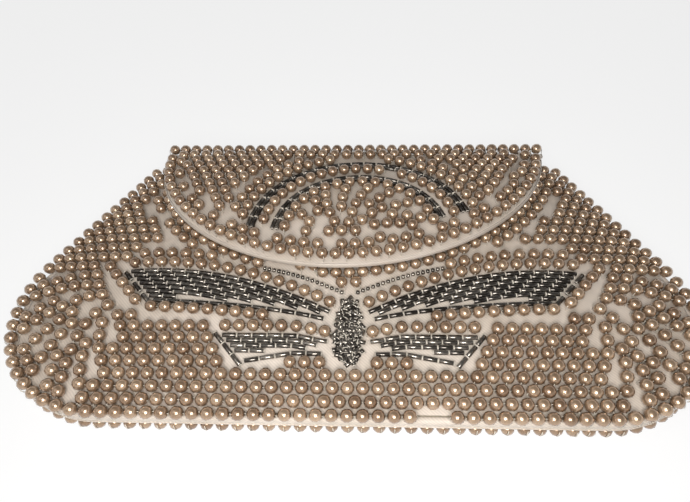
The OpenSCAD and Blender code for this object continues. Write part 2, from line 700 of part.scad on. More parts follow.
module seeds(points) {
    for (p = points) translate(bead_at(false, p, seed_r)) sphere(d = seed_d, $fn = 16);
}
module seed_line_left() {
    color(bugle_colour) placed() seeds(seed_line(seed_left_end));
}
module seed_line_right() {
    color(bugle_colour) placed() seeds(seed_line(seed_right_end));
}

// The snap: its two halves share one axis, square to the front under the flap
snap_z = front_top(snap_at[0], snap_at[1]);
snap_ceiling = flap_under(snap_at[0], snap_at[1]);
stud_reach = snap_ceiling - stud_plate_t - socket_h - snap_z - 2 * snap_seat;
module snap_socket() {
    well = stud_in + snap_floor;
    color(metal_colour) placed() translate([snap_at[0], snap_at[1], snap_z + snap_seat])
        difference() {
            cylinder(h = socket_h, d = socket_d, $fn = 64);
            translate([0, 0, socket_h - well])
                cylinder(h = well + 1, r = stud_d / 2 + snap_gap, $fn = 48);
        }
}
module snap_stud() {
    color(metal_colour) placed() translate([snap_at[0], snap_at[1], snap_ceiling - snap_seat])
        rotate([180, 0, 0]) {
            cylinder(h = stud_plate_t, d = stud_plate_d, $fn = 64);
            cylinder(h = stud_plate_t + stud_reach, d = stud_d, $fn = 48);
            translate([0, 0, stud_plate_t + stud_reach])
                cylinder(h = stud_in, d1 = stud_d, d2 = stud_tip_d, $fn = 48);
        }
}

// Frame of strip k at rest: X of the strip runs along the cloth, Y out to the pearls
module strip_frame(k) {
    at = crease_at(k);
    translate([0, at[0], at[1]]) rotate([turn * k, 0, 0]) children();
}
module crease_cloth(k, length) {
    strip_frame(k) {
        rotate([0, 90, 0]) cylinder(h = fold_w, r = crease_r, center = true, $fn = 32);
        translate([-fold_w / 2, 0, -crease_r])
            cube([fold_w, length, cloth_t - lining_t - layer_gap]);
    }
}
module fold_satin(k) {
    color(satin_colour) placed() crease_cloth(k, strip_l - cut_back);
}
module fold_lining(k) {
    color(lining_colour) placed() strip_frame(k)
        translate([-fold_w / 2, crease_r + layer_gap, crease_r - lining_t])
            cube([fold_w, strip_l - cut_back - crease_r - layer_gap, lining_t]);
}
module fold_pearls(k) {
    color(pearl_colour) placed() strip_frame(k)
        for (p = fold_row(fold_count + k % 2, strip_l / 2))
            pearl([p[0], p[1], -crease_r - bead_gap - pearl_r]);
}
module fold_satin_1() { fold_satin(1); }
module fold_satin_2() { fold_satin(2); }
module fold_satin_3() { fold_satin(3); }
module fold_lining_1() { fold_lining(1); }
module fold_lining_2() { fold_lining(2); }
module fold_lining_3() { fold_lining(3); }
module fold_pearls_1() { fold_pearls(1); }
module fold_pearls_2() { fold_pearls(2); }
module fold_pearls_3() { fold_pearls(3); }

module flap_crease() {
    color(satin_colour) placed() crease_cloth(creases, cut_back - layer_gap);
}
module flap_lining() {
    color(lining_colour) placed() flap_sheet(0, lining_t);
}
module flap_board() {
    color(board_colour) placed() flap_sheet(flap_board_up, board_t);
}
module flap_satin() {
    color(satin_colour) placed() flap_sheet(flap_satin_up, satin_t);
}
module flap_binding() {
    steps = 44;
    function edge(up, inset) = [for (j = [0 : steps])
        let (t = flap_root_angle + (180 - 2 * flap_root_angle) * j / steps)
        let (p = flap_at(flap_a - inset, flap_drop - inset, t))
        [p[0], p[1], flap_under(p[0], max(p[1], flap_edge_y(p[0]))) + up]];
    color(satin_colour) placed() sheet([edge(0, 0), edge(0, flap_bind_t)],
        [edge(cloth_t, 0), edge(cloth_t, flap_bind_t)]);
}
module flap_pearls() {
    color(pearl_colour) placed() pearls_on(true, clear_of(flap_rows(), lost_flap, lost_reach));
}
module bugle_arc(r) {
    for (lane = [0, 1]) {
        lane_r = r - lane * bugle_row;
        n = floor((arc_end - arc_start) / (2 * asin(bugle_pitch / 2 / lane_r)));
        for (i = [0 : n - 1]) {
            t = arc_start + (arc_end - arc_start) * (i + 0.5) / n;
            bugle_on(true, arc_mid + lane_r * [cos(t), sin(t)], t + 90, bugle_l);
        }
    }
}
module flap_outer_arc() {
    color(bugle_colour) placed() bugle_arc(outer_arc_r);
}
module flap_inner_arc() {
    color(bugle_colour) placed() bugle_arc(inner_arc_r);
}

back_satin();
back_board();
back_lining();
edge_welt();
back_rim_pearls();
back_pearls_left();
back_pearls_middle();
back_pearls_right();
front_lining();
front_interlining();
front_satin();
mouth_binding();
front_border_pearls();
front_field_pearls();
upper_ribbon_left();
upper_ribbon_right();
lower_ribbon_left();
lower_ribbon_right();
bow_knot();
seed_line_left();
seed_line_right();
snap_socket();
fold_satin_1();
fold_satin_2();
fold_satin_3();
fold_lining_1();
fold_lining_2();
fold_lining_3();
fold_pearls_1();
fold_pearls_2();
fold_pearls_3();
flap_crease();
flap_lining();
flap_board();
flap_satin();
flap_binding();
flap_pearls();
flap_outer_arc();
flap_inner_arc();
snap_stud();
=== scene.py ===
import bpy
import numpy as np
from mathutils import Matrix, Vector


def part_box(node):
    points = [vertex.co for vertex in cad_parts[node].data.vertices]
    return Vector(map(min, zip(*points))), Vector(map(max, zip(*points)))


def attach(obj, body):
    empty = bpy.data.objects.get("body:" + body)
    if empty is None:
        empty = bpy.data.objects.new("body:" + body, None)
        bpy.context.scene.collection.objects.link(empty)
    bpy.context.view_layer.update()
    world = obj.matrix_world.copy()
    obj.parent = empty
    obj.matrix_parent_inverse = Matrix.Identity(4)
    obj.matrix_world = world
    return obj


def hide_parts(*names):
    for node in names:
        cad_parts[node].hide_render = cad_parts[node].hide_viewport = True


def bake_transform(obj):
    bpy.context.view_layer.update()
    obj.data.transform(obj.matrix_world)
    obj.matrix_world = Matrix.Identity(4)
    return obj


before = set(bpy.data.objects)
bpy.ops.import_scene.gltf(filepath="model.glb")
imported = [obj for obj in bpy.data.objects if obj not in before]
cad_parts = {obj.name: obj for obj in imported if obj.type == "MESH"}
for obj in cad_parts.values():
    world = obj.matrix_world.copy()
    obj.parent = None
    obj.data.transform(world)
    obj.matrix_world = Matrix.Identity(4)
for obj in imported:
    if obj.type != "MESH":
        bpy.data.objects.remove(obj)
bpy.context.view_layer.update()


# The view. The bag lies on its back on a pale table and is seen from above its bottom edge,
# a little from the left. Lens, place and tilt were fitted to the rows of pearls.
mm = 0.001
view_at = np.array([5.4, -118.4, 164.0])
view_pitch, view_yaw, view_roll = np.radians([51.11, 3.59, -2.56])

look = np.array([0.0, np.cos(view_pitch), -np.sin(view_pitch)])
side = np.array([1.0, 0.0, 0.0])
over = np.cross(side, look)
tilted = np.stack([
    np.cos(view_roll) * side + np.sin(view_roll) * over,
    np.cos(view_roll) * over - np.sin(view_roll) * side,
    -look,
], axis=1)
turned = np.array([
    [np.cos(view_yaw), -np.sin(view_yaw), 0.0],
    [np.sin(view_yaw), np.cos(view_yaw), 0.0],
    [0.0, 0.0, 1.0],
]) @ tilted
lens = bpy.data.cameras.new("view")
lens.sensor_width = 36.0
lens.lens = 27.13
lens.clip_start, lens.clip_end = 0.01, 20.0
camera = bpy.data.objects.new("view", lens)
pose = np.eye(4)
pose[:3, :3] = turned
pose[:3, 3] = view_at * mm
camera.matrix_world = Matrix(pose.tolist())
bpy.context.scene.collection.objects.link(camera)
bpy.context.scene.camera = camera


# The studio. A round white table that curves up into a wall far behind the bag, one soft lamp
# just behind the eye, as in the photograph, a wide one to the left, and an even room.
def table_white():
    """Matt white that keeps the shadow, with plain white over it where the eye, gloss or glass
    sees it."""
    paint = bpy.data.materials.new("table_white")
    paint.use_nodes = True
    nodes, links = paint.node_tree.nodes, paint.node_tree.links
    matt = nodes["Principled BSDF"]
    matt.inputs["Base Color"].default_value = (0.86, 0.86, 0.86, 1.0)
    matt.inputs["Roughness"].default_value = 0.9
    matt.inputs["Specular IOR Level"].default_value = 0.1
    plain = nodes.new("ShaderNodeEmission")
    plain.inputs["Color"].default_value = (1.0, 1.0, 1.0, 1.0)
    path = nodes.new("ShaderNodeLightPath")
    seen = nodes.new("ShaderNodeMath")
    seen.operation = "MAXIMUM"
    any_of = nodes.new("ShaderNodeMath")
    any_of.operation = "MAXIMUM"
    share = nodes.new("ShaderNodeMath")
    share.operation = "MULTIPLY"
    share.inputs[1].default_value = 0.8
    mixed = nodes.new("ShaderNodeMixShader")
    links.new(path.outputs["Is Camera Ray"], seen.inputs[0])
    links.new(path.outputs["Is Glossy Ray"], seen.inputs[1])
    links.new(seen.outputs[0], any_of.inputs[0])
    links.new(path.outputs["Is Transmission Ray"], any_of.inputs[1])
    links.new(any_of.outputs[0], share.inputs[0])
    links.new(share.outputs[0], mixed.inputs["Fac"])
    links.new(matt.outputs["BSDF"], mixed.inputs[1])
    links.new(plain.outputs["Emission"], mixed.inputs[2])
    links.new(mixed.outputs["Shader"], nodes["Material Output"].inputs["Surface"])
    return paint


table_r, cove_r, wall_h = 2.2, 0.6, 1.6
flat_r = np.array([0.05, 0.6, 1.4])
bend = np.linspace(0, np.pi / 2, 12)
profile_r = np.concatenate([flat_r, table_r + cove_r * np.sin(bend), [table_r + cove_r]])
profile_z = np.concatenate([0 * flat_r, cove_r * (1 - np.cos(bend)), [wall_h]])
around = np.linspace(0, 2 * np.pi, 64, endpoint=False)
table_points = np.stack(np.broadcast_arrays(
    profile_r[:, None] * np.cos(around), profile_r[:, None] * np.sin(around),
    profile_z[:, None]), -1)
ring = np.arange(table_points[..., 0].size).reshape(table_points.shape[:2])
after = np.roll(ring, -1, axis=1)
table_faces = np.stack([ring[:-1], ring[1:], after[1:], after[:-1]], -1).reshape(-1, 4)
table_mesh = bpy.data.meshes.new("table")
table_mesh.from_pydata(
    table_points.reshape(-1, 3).tolist(), [], table_faces.tolist() + [ring[0].tolist()])
table_mesh.shade_smooth()
table_mesh.materials.append(table_white())
table = bpy.data.objects.new("table", table_mesh)
bpy.context.scene.collection.objects.link(table)

room = bpy.data.worlds.new("room")
room.use_nodes = True
room_light = room.node_tree.nodes["Background"]
room_light.inputs["Color"].default_value = (0.94, 0.97, 1.0, 1.0)
room_light.inputs["Strength"].default_value = 0.13
bpy.context.scene.world = room


def soft_lamp(name, at, aim, size, watts, colour):
    """A square lamp of that size at a place in metres, turned towards a point."""
    lamp = bpy.data.lights.new(name, "AREA")
    lamp.size = size
    lamp.energy = watts
    lamp.color = colour
    thing = bpy.data.objects.new(name, lamp)
    back = np.array(at, float) - np.array(aim, float)
    back /= np.linalg.norm(back)
    across = np.cross([0.0, 1.0, 0.0], back)
    across /= np.linalg.norm(across)
    place = np.eye(4)
    place[:3, 0], place[:3, 1], place[:3, 2] = across, np.cross(back, across), back
    place[:3, 3] = at
    thing.matrix_world = Matrix(place.tolist())
    bpy.context.scene.collection.objects.link(thing)


soft_lamp("near_lamp", (0.0, -0.155, 0.18), (0.0, -0.03, 0.0), 0.11, 0.65, (1.0, 0.98, 0.95))
soft_lamp("wide_lamp", (-0.35, -0.1, 0.6), (0.0, 0.0, 0.0), 0.5, 0.8, (1.0, 0.99, 0.97))

bpy.context.scene.view_settings.view_transform = "Standard"


# The back cover: satin over a stiff board, cut as a trapezium with two round bottom corners.
# It is laid flat and drawn tight. Plan sizes are in millimetres, from the bottom edge up.
panel_w, panel_h, corner_r = 236.0, 112.5, 38.5
lean = np.radians(28.5)
back_satin_z, satin_t, board_t, lining_t, layer_gap = 4.55, 0.6, 1.0, 0.4, 0.05
cloth_t = satin_t + board_t + lining_t + 2 * layer_gap
crease_r = cloth_t / 2
cut_back = crease_r + 0.3
root_y = panel_h - cut_back
middle_y = -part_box("back_satin")[0].y / mm
corner_x = panel_w / 2 - corner_r
tangent_y = corner_r * (1 + np.sin(lean))
tangent_x = corner_x + corner_r * np.cos(lean)


def half_width(y, inset=0.0):
    """Half the body's width at y: a circle's arc at the corner, then a line that leans in."""
    r = corner_r - inset
    arc = corner_x + np.sqrt(np.maximum(0.0, r ** 2 - (corner_r - y) ** 2))
    line = tangent_x - inset / np.cos(lean) - (y - tangent_y) * np.tan(lean)
    return np.where(y < tangent_y - inset * np.sin(lean), arc, line)


def body_rows(inset, top, n_corner=60, n_side=70):
    """Heights of a panel's rows: close together round the corner, then even up the side."""
    turn = np.linspace(0.0, np.pi / 2 + lean, n_corner)
    low = corner_r - (corner_r - inset) * np.cos(turn)
    return np.concatenate([low, np.linspace(low[-1], top, n_side)[1:]])


def body_plan(inset, top, across=240):
    """x and y of a panel's grid: each row runs from one side to the other."""
    y = body_rows(inset, top)[:, None]
    x = half_width(y, inset) * np.linspace(-1.0, 1.0, across)[None, :]
    return x, np.broadcast_to(y, x.shape)


def shell(low, high):
    """Points and quads of the closed skin between two grids: both faces and the wall."""
    rows, cols = low.shape[:2]
    index = np.arange(rows * cols).reshape(rows, cols)
    cells = np.stack([index[:-1, :-1], index[:-1, 1:], index[1:, 1:], index[1:, :-1]], -1)
    cells = cells.reshape(-1, 4)
    rim = np.concatenate([index[0, :-1], index[:-1, -1], index[-1, :0:-1], index[:0:-1, 0]])
    after = np.roll(rim, -1)
    count = rows * cols
    wall = np.stack([rim, after, after + count, rim + count], -1)
    points = np.concatenate([low.reshape(-1, 3), high.reshape(-1, 3)])
    return points, np.concatenate([cells[:, ::-1], cells + count, wall])


def piece(name, points, faces, finish, slot, body=None, stands_for=(), tint=None):
    """A smooth mesh object from plan points in millimetres and arrays of faces. It rides on a body
    if one is given, and may stand for CAD nodes and hold a tint per point."""
    faces = faces if isinstance(faces, list) else [faces]
    points = (points - np.array([0.0, middle_y, 0.0])) * mm
    sizes = np.concatenate([np.full(len(f), f.shape[1]) for f in faces])
    mesh = bpy.data.meshes.new(name)
    mesh.vertices.add(len(points))
    mesh.vertices.foreach_set("co", points.astype(np.float32).ravel())
    mesh.loops.add(int(sizes.sum()))
    corners = np.concatenate([f.ravel() for f in faces]).astype(np.int32)
    mesh.loops.foreach_set("vertex_index", corners)
    mesh.polygons.add(len(sizes))
    mesh.polygons.foreach_set("loop_start", (np.cumsum(sizes) - sizes).astype(np.int32))
    mesh.update(calc_edges=True)
    mesh.shade_smooth()
    if tint is not None:
        shade = mesh.attributes.new("tint", "FLOAT", "POINT")
        shade.data.foreach_set("value", tint.astype(np.float32))
    mesh.materials.append(finish)
    thing = bpy.data.objects.new(name, mesh)
    bpy.context.scene.collection.objects.link(thing)
    if body:
        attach(thing, body)
    if stands_for:
        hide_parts(*stands_for)
    return thing


def grid(x, y, z):
    """One array of points from three arrays of coordinates."""
    return np.stack(np.broadcast_arrays(x, y, z), -1).astype(float)


def creased(x, y, size, seed):
    """Small even unrest of cloth, from -1 to 1: a sum of slanted waves of about one size."""
    draw = np.random.default_rng(seed)
    waves = 9
    total = np.zeros(np.broadcast(x, y).shape)
    for _ in range(waves):
        angle, phase = draw.uniform(0, 2 * np.pi), draw.uniform(0, 6.3)
        per_mm = 2 * np.pi / (size * draw.uniform(0.7, 1.5))
        total += np.sin(per_mm * (np.cos(angle) * x + np.sin(angle) * y) + phase)
    return total / waves


def bare_finish(name):
    """A new material, with its nodes, its links, its shader and its object coordinates."""
    finish = bpy.data.materials.new(name)
    finish.use_nodes = True
    nodes, links = finish.node_tree.nodes, finish.node_tree.links
    place = nodes.new("ShaderNodeTexCoord").outputs["Object"]
    return finish, nodes, links, nodes["Principled BSDF"], place


def woven(name, colour, shade, sheen, thread=0.0006):
    """Satin: slanted floats of thread over a fine cross weave, soft blotches of wear, and a
    cloth's sheen."""
    cloth, nodes, links, skin, place = bare_finish(name)
    waves = []
    for axis, width in (("DIAGONAL", thread), ("X", thread / 2)):
        wave = nodes.new("ShaderNodeTexWave")
        wave.wave_type = "BANDS"
        wave.bands_direction = axis
        wave.inputs["Scale"].default_value = 0.314 / width
        wave.inputs["Distortion"].default_value = 2.0
        wave.inputs["Detail"].default_value = 2.0
        wave.inputs["Detail Scale"].default_value = 1.5
        links.new(place, wave.inputs["Vector"])
        waves.append(wave)
    weave = nodes.new("ShaderNodeMix")
    weave.data_type = "FLOAT"
    weave.inputs["Factor"].default_value = 0.35
    links.new(waves[0].outputs["Fac"], weave.inputs["A"])
    links.new(waves[1].outputs["Fac"], weave.inputs["B"])
    worn = nodes.new("ShaderNodeTexNoise")
    worn.inputs["Scale"].default_value = 60.0
    worn.inputs["Detail"].default_value = 4.0
    links.new(place, worn.inputs["Vector"])
    amount = nodes.new("ShaderNodeMapRange")
    amount.inputs["From Min"].default_value = 0.35
    amount.inputs["From Max"].default_value = 0.7
    links.new(worn.outputs["Fac"], amount.inputs["Value"])
    tone = nodes.new("ShaderNodeMix")
    tone.data_type = "RGBA"
    tone.inputs["A"].default_value = (*colour, 1.0)
    tone.inputs["B"].default_value = (*shade, 1.0)
    links.new(amount.outputs["Result"], tone.inputs["Factor"])
    threads = nodes.new("ShaderNodeMix")
    threads.data_type = "RGBA"
    threads.blend_type = "MULTIPLY"
    threads.inputs["Factor"].default_value = 0.22
    links.new(tone.outputs["Result"], threads.inputs["A"])
    links.new(weave.outputs["Result"], threads.inputs["B"])
    links.new(threads.outputs["Result"], skin.inputs["Base Color"])
    bump = nodes.new("ShaderNodeBump")
    bump.inputs["Strength"].default_value = 0.35
    bump.inputs["Distance"].default_value = 0.00006
    links.new(weave.outputs["Result"], bump.inputs["Height"])
    links.new(bump.outputs["Normal"], skin.inputs["Normal"])
    skin.inputs["Roughness"].default_value = 0.52
    skin.inputs["Sheen Weight"].default_value = sheen
    skin.inputs["Sheen Roughness"].default_value = 0.35
    skin.inputs["Specular IOR Level"].default_value = 0.4
    return cloth


cover_satin = woven("cover_satin", (0.66, 0.585, 0.515), (0.57, 0.495, 0.42), 0.2)

slack_h, slack_wave = 0.12, 0.10
x, y = body_plan(0.0, root_y)
sag = slack_wave * (creased(x, y, 9.0, 3) + creased(x, y, 4.0, 4))
back_cover = piece(
    "back_cover",
    *shell(grid(x, y, back_satin_z + slack_h + sag), grid(x, y, back_satin_z + satin_t)),
    cover_satin, "cover_satin", "pouch", ["back_satin"])


# Inside the back: a stiff board of buckram, and a plain cream lining that is glued over it.
# The board shows only as a thin edge at the mouth.
lining_satin = woven("lining_satin", (0.70, 0.58, 0.47), (0.62, 0.50, 0.39), 0.15, 0.0005)


def stiffening(name, colour):
    """Buckram: a coarse open weave, stiff with size."""
    board, nodes, links, skin, place = bare_finish(name)
    weave = nodes.new("ShaderNodeTexChecker")
    weave.inputs["Scale"].default_value = 900.0
    weave.inputs["Color1"].default_value = (*colour, 1.0)
    weave.inputs["Color2"].default_value = (*[0.78 * c for c in colour], 1.0)
    links.new(place, weave.inputs["Vector"])
    links.new(weave.outputs["Color"], skin.inputs["Base Color"])
    skin.inputs["Roughness"].default_value = 0.9
    return board


def dress(finish, *nodes):
    """Gives a finish to CAD nodes whose own shape is right."""
    for node in nodes:
        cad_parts[node].data.materials.clear()
        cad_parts[node].data.materials.append(finish)


dress(stiffening("stiffener", (0.55, 0.49, 0.38)),
      "back_board", "front_interlining", "flap_board")

lining_low = back_satin_z + satin_t + board_t + 2 * layer_gap
lining_high = lining_low + lining_t
seam_w = 2.4
panel_inset = seam_w + layer_gap
rumple_h, rumple_l = 0.08, 14.0
x, y = body_plan(panel_inset, root_y, 200)
rumple = rumple_h * creased(x, y, rumple_l, 5)
back_inside = piece(
    "back_inside",
    *shell(grid(x, y, lining_low + 0 * x), grid(x, y, lining_high - rumple_h + rumple)),
    lining_satin, "lining_satin", "pouch", ["back_lining"])


# The front: lining, soft interlining and satin, sewn to the back along the sides and the
# bottom. It swells from the seam to the mouth, where the empty bag stands open a little.
room_h, mouth_y, interlining_t = 5.6, panel_h - 2.5, 0.8
front_lining_z = lining_high + layer_gap
front_satin_z = front_lining_z + lining_t + layer_gap + interlining_t + layer_gap
front_top_z = front_satin_z + satin_t


def crown(x, y):
    """Swell of the front: the room's height, times one less the fourth power of x's share of
    half the width, times one less the cube of y's share of the way down from the mouth."""
    across = 1 - np.minimum(1.0, np.abs(x) / half_width(y)) ** 4
    return room_h * across * (1 - (1 - np.clip(y / panel_h, 0, 1)) ** 3)


pucker_h, pucker_low, pucker_broad, pucker_short = 0.09, 0.1, 7.0, 3.2


def puckered(x, y, seed):
    """Satin pulled in by its stitches: broad and short unrest added up, less a set depth."""
    broad, short = creased(x, y, pucker_broad, seed), creased(x, y, pucker_short, seed + 1)
    return pucker_h * (broad + short) - pucker_low


x, y = body_plan(panel_inset, mouth_y, 200)
rumple = rumple_h * creased(x, y, rumple_l, 6)
front_inside = piece(
    "front_inside",
    *shell(grid(x, y, front_lining_z + crown(x, y) + rumple_h + rumple),
           grid(x, y, front_lining_z + lining_t + crown(x, y))),
    lining_satin, "lining_satin", "pouch", ["front_lining"])

x, y = body_plan(panel_inset, mouth_y, 300)
front_cover = piece(
    "front_cover",
    *shell(grid(x, y, front_satin_z + crown(x, y)),
           grid(x, y, front_top_z + crown(x, y) + puckered(x, y, 7))),
    cover_satin, "cover_satin", "pouch", ["front_satin"])


# The seam round sides and bottom: the front's satin is rolled over the edge and felled to
# the back, so it makes a soft round roll, gathered where it goes round the corners.
def carried(path, outward, profile_out, profile_up):
    """Grid of a profile carried along a plan path: out square to the path, and up."""
    out = path[:, None, :] + outward[:, None, :] * profile_out[..., None]
    return grid(out[..., 0], out[..., 1], profile_up)


def body_edge(top, step):
    """Plan points of the body's edge from mouth to mouth, a step apart, and their outward
    directions: on each side a line and a corner's arc, and the bottom's line between them."""
    turn = np.pi / 2 + lean
    side_l = (top - tangent_y) / np.cos(lean)
    arc = np.linspace(0, turn, int(corner_r * turn / step))
    up = np.linspace(0, side_l, int(side_l / step))[1:]
    flat = np.linspace(-corner_x, corner_x, int(2 * corner_x / step))[1:-1]
    right = np.concatenate([
        np.stack([corner_x + corner_r * np.sin(arc), corner_r - corner_r * np.cos(arc)], -1),
        np.stack([tangent_x - up * np.sin(lean), tangent_y + up * np.cos(lean)], -1)])
    right_out = np.concatenate([
        np.stack([np.sin(arc), -np.cos(arc)], -1),
        np.broadcast_to([np.cos(lean), np.sin(lean)], (len(up), 2))])
    mirror = np.array([-1.0, 1.0])
    bottom = np.stack([flat, 0 * flat], -1)
    bottom_out = np.broadcast_to([0.0, -1.0], bottom.shape)
    return (np.concatenate([right[::-1] * mirror, bottom, right]),
            np.concatenate([right_out[::-1] * mirror, bottom_out, right_out]))


def ring_faces(rows, cols):
    """Quads of a closed tube of rings, and the two caps that close its ends."""
    index = np.arange(rows * cols).reshape(rows, cols)
    ahead = np.roll(index, -1, axis=1)
    sides = np.stack([index[:-1], ahead[:-1], ahead[1:], index[1:]], -1).reshape(-1, 4)
    return [sides, index[:1, ::-1], index[-1:]]


def squarish(wave):
    """A circle's sine or cosine drawn out towards a square's: its power of three quarters."""
    return np.sign(wave) * np.abs(wave) ** 0.75


edge_step = 0.5
gather_h, gather_l, drift, drift_l, broad_h, broad_l = 0.07, 0.9, 1.3, 7.0, 0.08, 11.0
edge, edge_out = body_edge(mouth_y, edge_step)
turn = np.linspace(0, 2 * np.pi, 20, endpoint=False)[None, :]
along = np.arange(len(edge))[:, None] * edge_step
roll_low, roll_high = back_satin_z + satin_t + layer_gap, front_top_z
gathers = gather_h * np.sin(along / gather_l + drift * np.sin(along / drift_l)) \
    + broad_h * creased(along, 0 * along, broad_l, 9)
roll_out = seam_w / 2 * squarish(np.cos(turn)) - seam_w / 2 \
    + gathers * np.maximum(0, np.cos(turn))
roll_up = (roll_low + roll_high) / 2 + (roll_high - roll_low) / 2 * squarish(np.sin(turn)) \
    + 0 * along
edge_points = carried(edge, edge_out, roll_out, roll_up)
piece(
    "edge_roll", edge_points.reshape(-1, 3), ring_faces(*edge_points.shape[:2]),
    cover_satin, "cover_satin", "pouch", ["edge_welt"])


# The binding of the mouth: a narrow strip of the cover's satin, folded over the front's top
# edge and stitched down inside, so that it ends in a thin round lip.
lip_r = 0.4
lip_y = mouth_y + layer_gap + lip_r
lip_x = half_width(np.array(lip_y), panel_inset) * np.linspace(-1, 1, 160)
lip_t = (front_top_z - front_lining_z) / 2
turn = np.linspace(0, 2 * np.pi, 14, endpoint=False)[None, :]
lip = grid(lip_x[:, None] + 0 * turn, lip_y + lip_r * np.cos(turn) + 0 * lip_x[:, None],
           front_lining_z + lip_t + crown(lip_x, lip_y)[:, None] + lip_t * np.sin(turn))
piece(
    "mouth_lip", lip.reshape(-1, 3), ring_faces(*lip.shape[:2]),
    cover_satin, "cover_satin", "pouch", ["mouth_binding"])


# The pearls of the back: moulded glass with a champagne lustre, each drilled through and
# sewn flat to the satin by a thread that runs along its row.
def shells_of(node):
    """Centre, long axis and length of each bead in a CAD node. Points that share a triangle
    take the lowest number among them until no number changes, and each number is a bead."""
    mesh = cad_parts[node].data
    points = np.empty(len(mesh.vertices) * 3, np.float32)
    mesh.vertices.foreach_get("co", points)
    points = points.reshape(-1, 3) / mm + np.array([0.0, middle_y, 0.0])
    corners = np.empty(len(mesh.loops), np.int32)
    mesh.loops.foreach_get("vertex_index", corners)
    _, first, same = np.unique(
        np.round(points * 1000).astype(np.int64), axis=0, return_index=True, return_inverse=True)
    points, triangles = points[first], same.ravel()[corners].reshape(-1, 3)
    label = np.arange(len(points))
    while True:
        low = label[triangles].min(axis=1)
        lower = label.copy()
        for k in range(3):
            np.minimum.at(lower, triangles[:, k], low)
        lower = lower[lower]
        if (lower == label).all():
            break
        label = lower
    _, bead = np.unique(label, return_inverse=True)
    count = bead.max() + 1
    low, high = np.full((count, 3), 1e9), np.full((count, 3), -1e9)
    np.minimum.at(low, bead, points)
    np.maximum.at(high, bead, points)
    centre = (low + high) / 2
    away = points - centre[bead]
    spread = np.zeros((count, 3, 3))
    np.add.at(spread, bead, away[:, :, None] * away[:, None, :])
    axis = np.linalg.eigh(spread)[1][:, :, 2]
    reach = np.zeros(count)
    np.maximum.at(reach, bead, np.abs((away * axis[bead]).sum(1)))
    return centre, axis, 2 * reach


def unit(v):
    """Vectors of length 1."""
    return v / np.maximum(1e-9, np.linalg.norm(v, axis=-1, keepdims=True))


def along_row(centre, out):
    """Direction from each bead to its nearest neighbour, square to the way out."""
    apart = np.linalg.norm(centre[:, None] - centre[None], axis=-1)
    np.fill_diagonal(apart, 1e9)
    way = centre[apart.argmin(1)] - centre
    return unit(way - (way * out).sum(-1, keepdims=True) * out)


def lathed(centre, axis, out, profile, sides):
    """One turned shape for each bead: profile is (along, radius) pairs in millimetres, with a
    leading axis for the beads, and it is turned round each bead's own axis. Gives the points,
    and as faces the quads of the sides and the flat caps that close both ends."""
    axis, out = axis[:, None, None, :], out[:, None, None, :]
    turn = np.linspace(0, 2 * np.pi, sides, endpoint=False)[:, None]
    ring = np.cos(turn) * np.cross(out, axis) + np.sin(turn) * out
    points = centre[:, None, None, :] + profile[..., None, :1] * axis \
        + profile[..., None, 1:] * ring
    index = np.arange(points[..., 0].size).reshape(points.shape[:3])
    ahead = np.roll(index, -1, axis=2)
    quads = np.stack([index[:, :-1], index[:, 1:], ahead[:, 1:], ahead[:, :-1]], -1)
    caps = np.concatenate([index[:, 0], index[:, -1, ::-1]])
    return points.reshape(-1, 3), [quads.reshape(-1, 4), caps]


def lustre(name, deep, pale):
    """Pearl: a metallic coat that drifts between a deep and a pale tone from bead to bead and
    within each one, under a clear glossy skin with faint pits."""
    pearl, nodes, links, skin, place = bare_finish(name)
    tint = nodes.new("ShaderNodeAttribute")
    tint.attribute_name = "tint"
    cloud = nodes.new("ShaderNodeTexNoise")
    cloud.inputs["Scale"].default_value = 420.0
    cloud.inputs["Detail"].default_value = 3.0
    links.new(place, cloud.inputs["Vector"])
    drift = nodes.new("ShaderNodeMath")
    drift.operation = "MULTIPLY_ADD"
    drift.inputs[1].default_value = 0.7
    drift.use_clamp = True
    lowered = nodes.new("ShaderNodeMath")
    lowered.operation = "SUBTRACT"
    lowered.inputs[1].default_value = 0.35
    links.new(tint.outputs["Fac"], lowered.inputs[0])
    links.new(cloud.outputs["Fac"], drift.inputs[0])
    links.new(lowered.outputs[0], drift.inputs[2])
    tone = nodes.new("ShaderNodeMix")
    tone.data_type = "RGBA"
    tone.inputs["A"].default_value = (*deep, 1.0)
    tone.inputs["B"].default_value = (*pale, 1.0)
    links.new(drift.outputs[0], tone.inputs["Factor"])
    links.new(tone.outputs["Result"], skin.inputs["Base Color"])
    pits = nodes.new("ShaderNodeTexNoise")
    pits.inputs["Scale"].default_value = 2600.0
    links.new(place, pits.inputs["Vector"])
    bump = nodes.new("ShaderNodeBump")
    bump.inputs["Strength"].default_value = 0.12
    bump.inputs["Distance"].default_value = 0.00004
    links.new(pits.outputs["Fac"], bump.inputs["Height"])
    links.new(bump.outputs["Normal"], skin.inputs["Normal"])
    skin.inputs["Metallic"].default_value = 0.6
    skin.inputs["Roughness"].default_value = 0.25
    skin.inputs["Coat Weight"].default_value = 1.0
    skin.inputs["Coat Roughness"].default_value = 0.12
    return pearl


def sewing_thread():
    """White cotton, twisted, a little greyed."""
    cotton, nodes, links, skin, place = bare_finish("sewing_thread")
    twist = nodes.new("ShaderNodeTexWave")
    twist.bands_direction = "DIAGONAL"
    twist.inputs["Scale"].default_value = 1600.0
    links.new(place, twist.inputs["Vector"])
    tone = nodes.new("ShaderNodeMix")
    tone.data_type = "RGBA"
    tone.inputs["A"].default_value = (0.50, 0.45, 0.38, 1.0)
    tone.inputs["B"].default_value = (0.70, 0.65, 0.57, 1.0)
    links.new(twist.outputs["Fac"], tone.inputs["Factor"])
    links.new(tone.outputs["Result"], skin.inputs["Base Color"])
    skin.inputs["Roughness"].default_value = 0.8
    return cotton


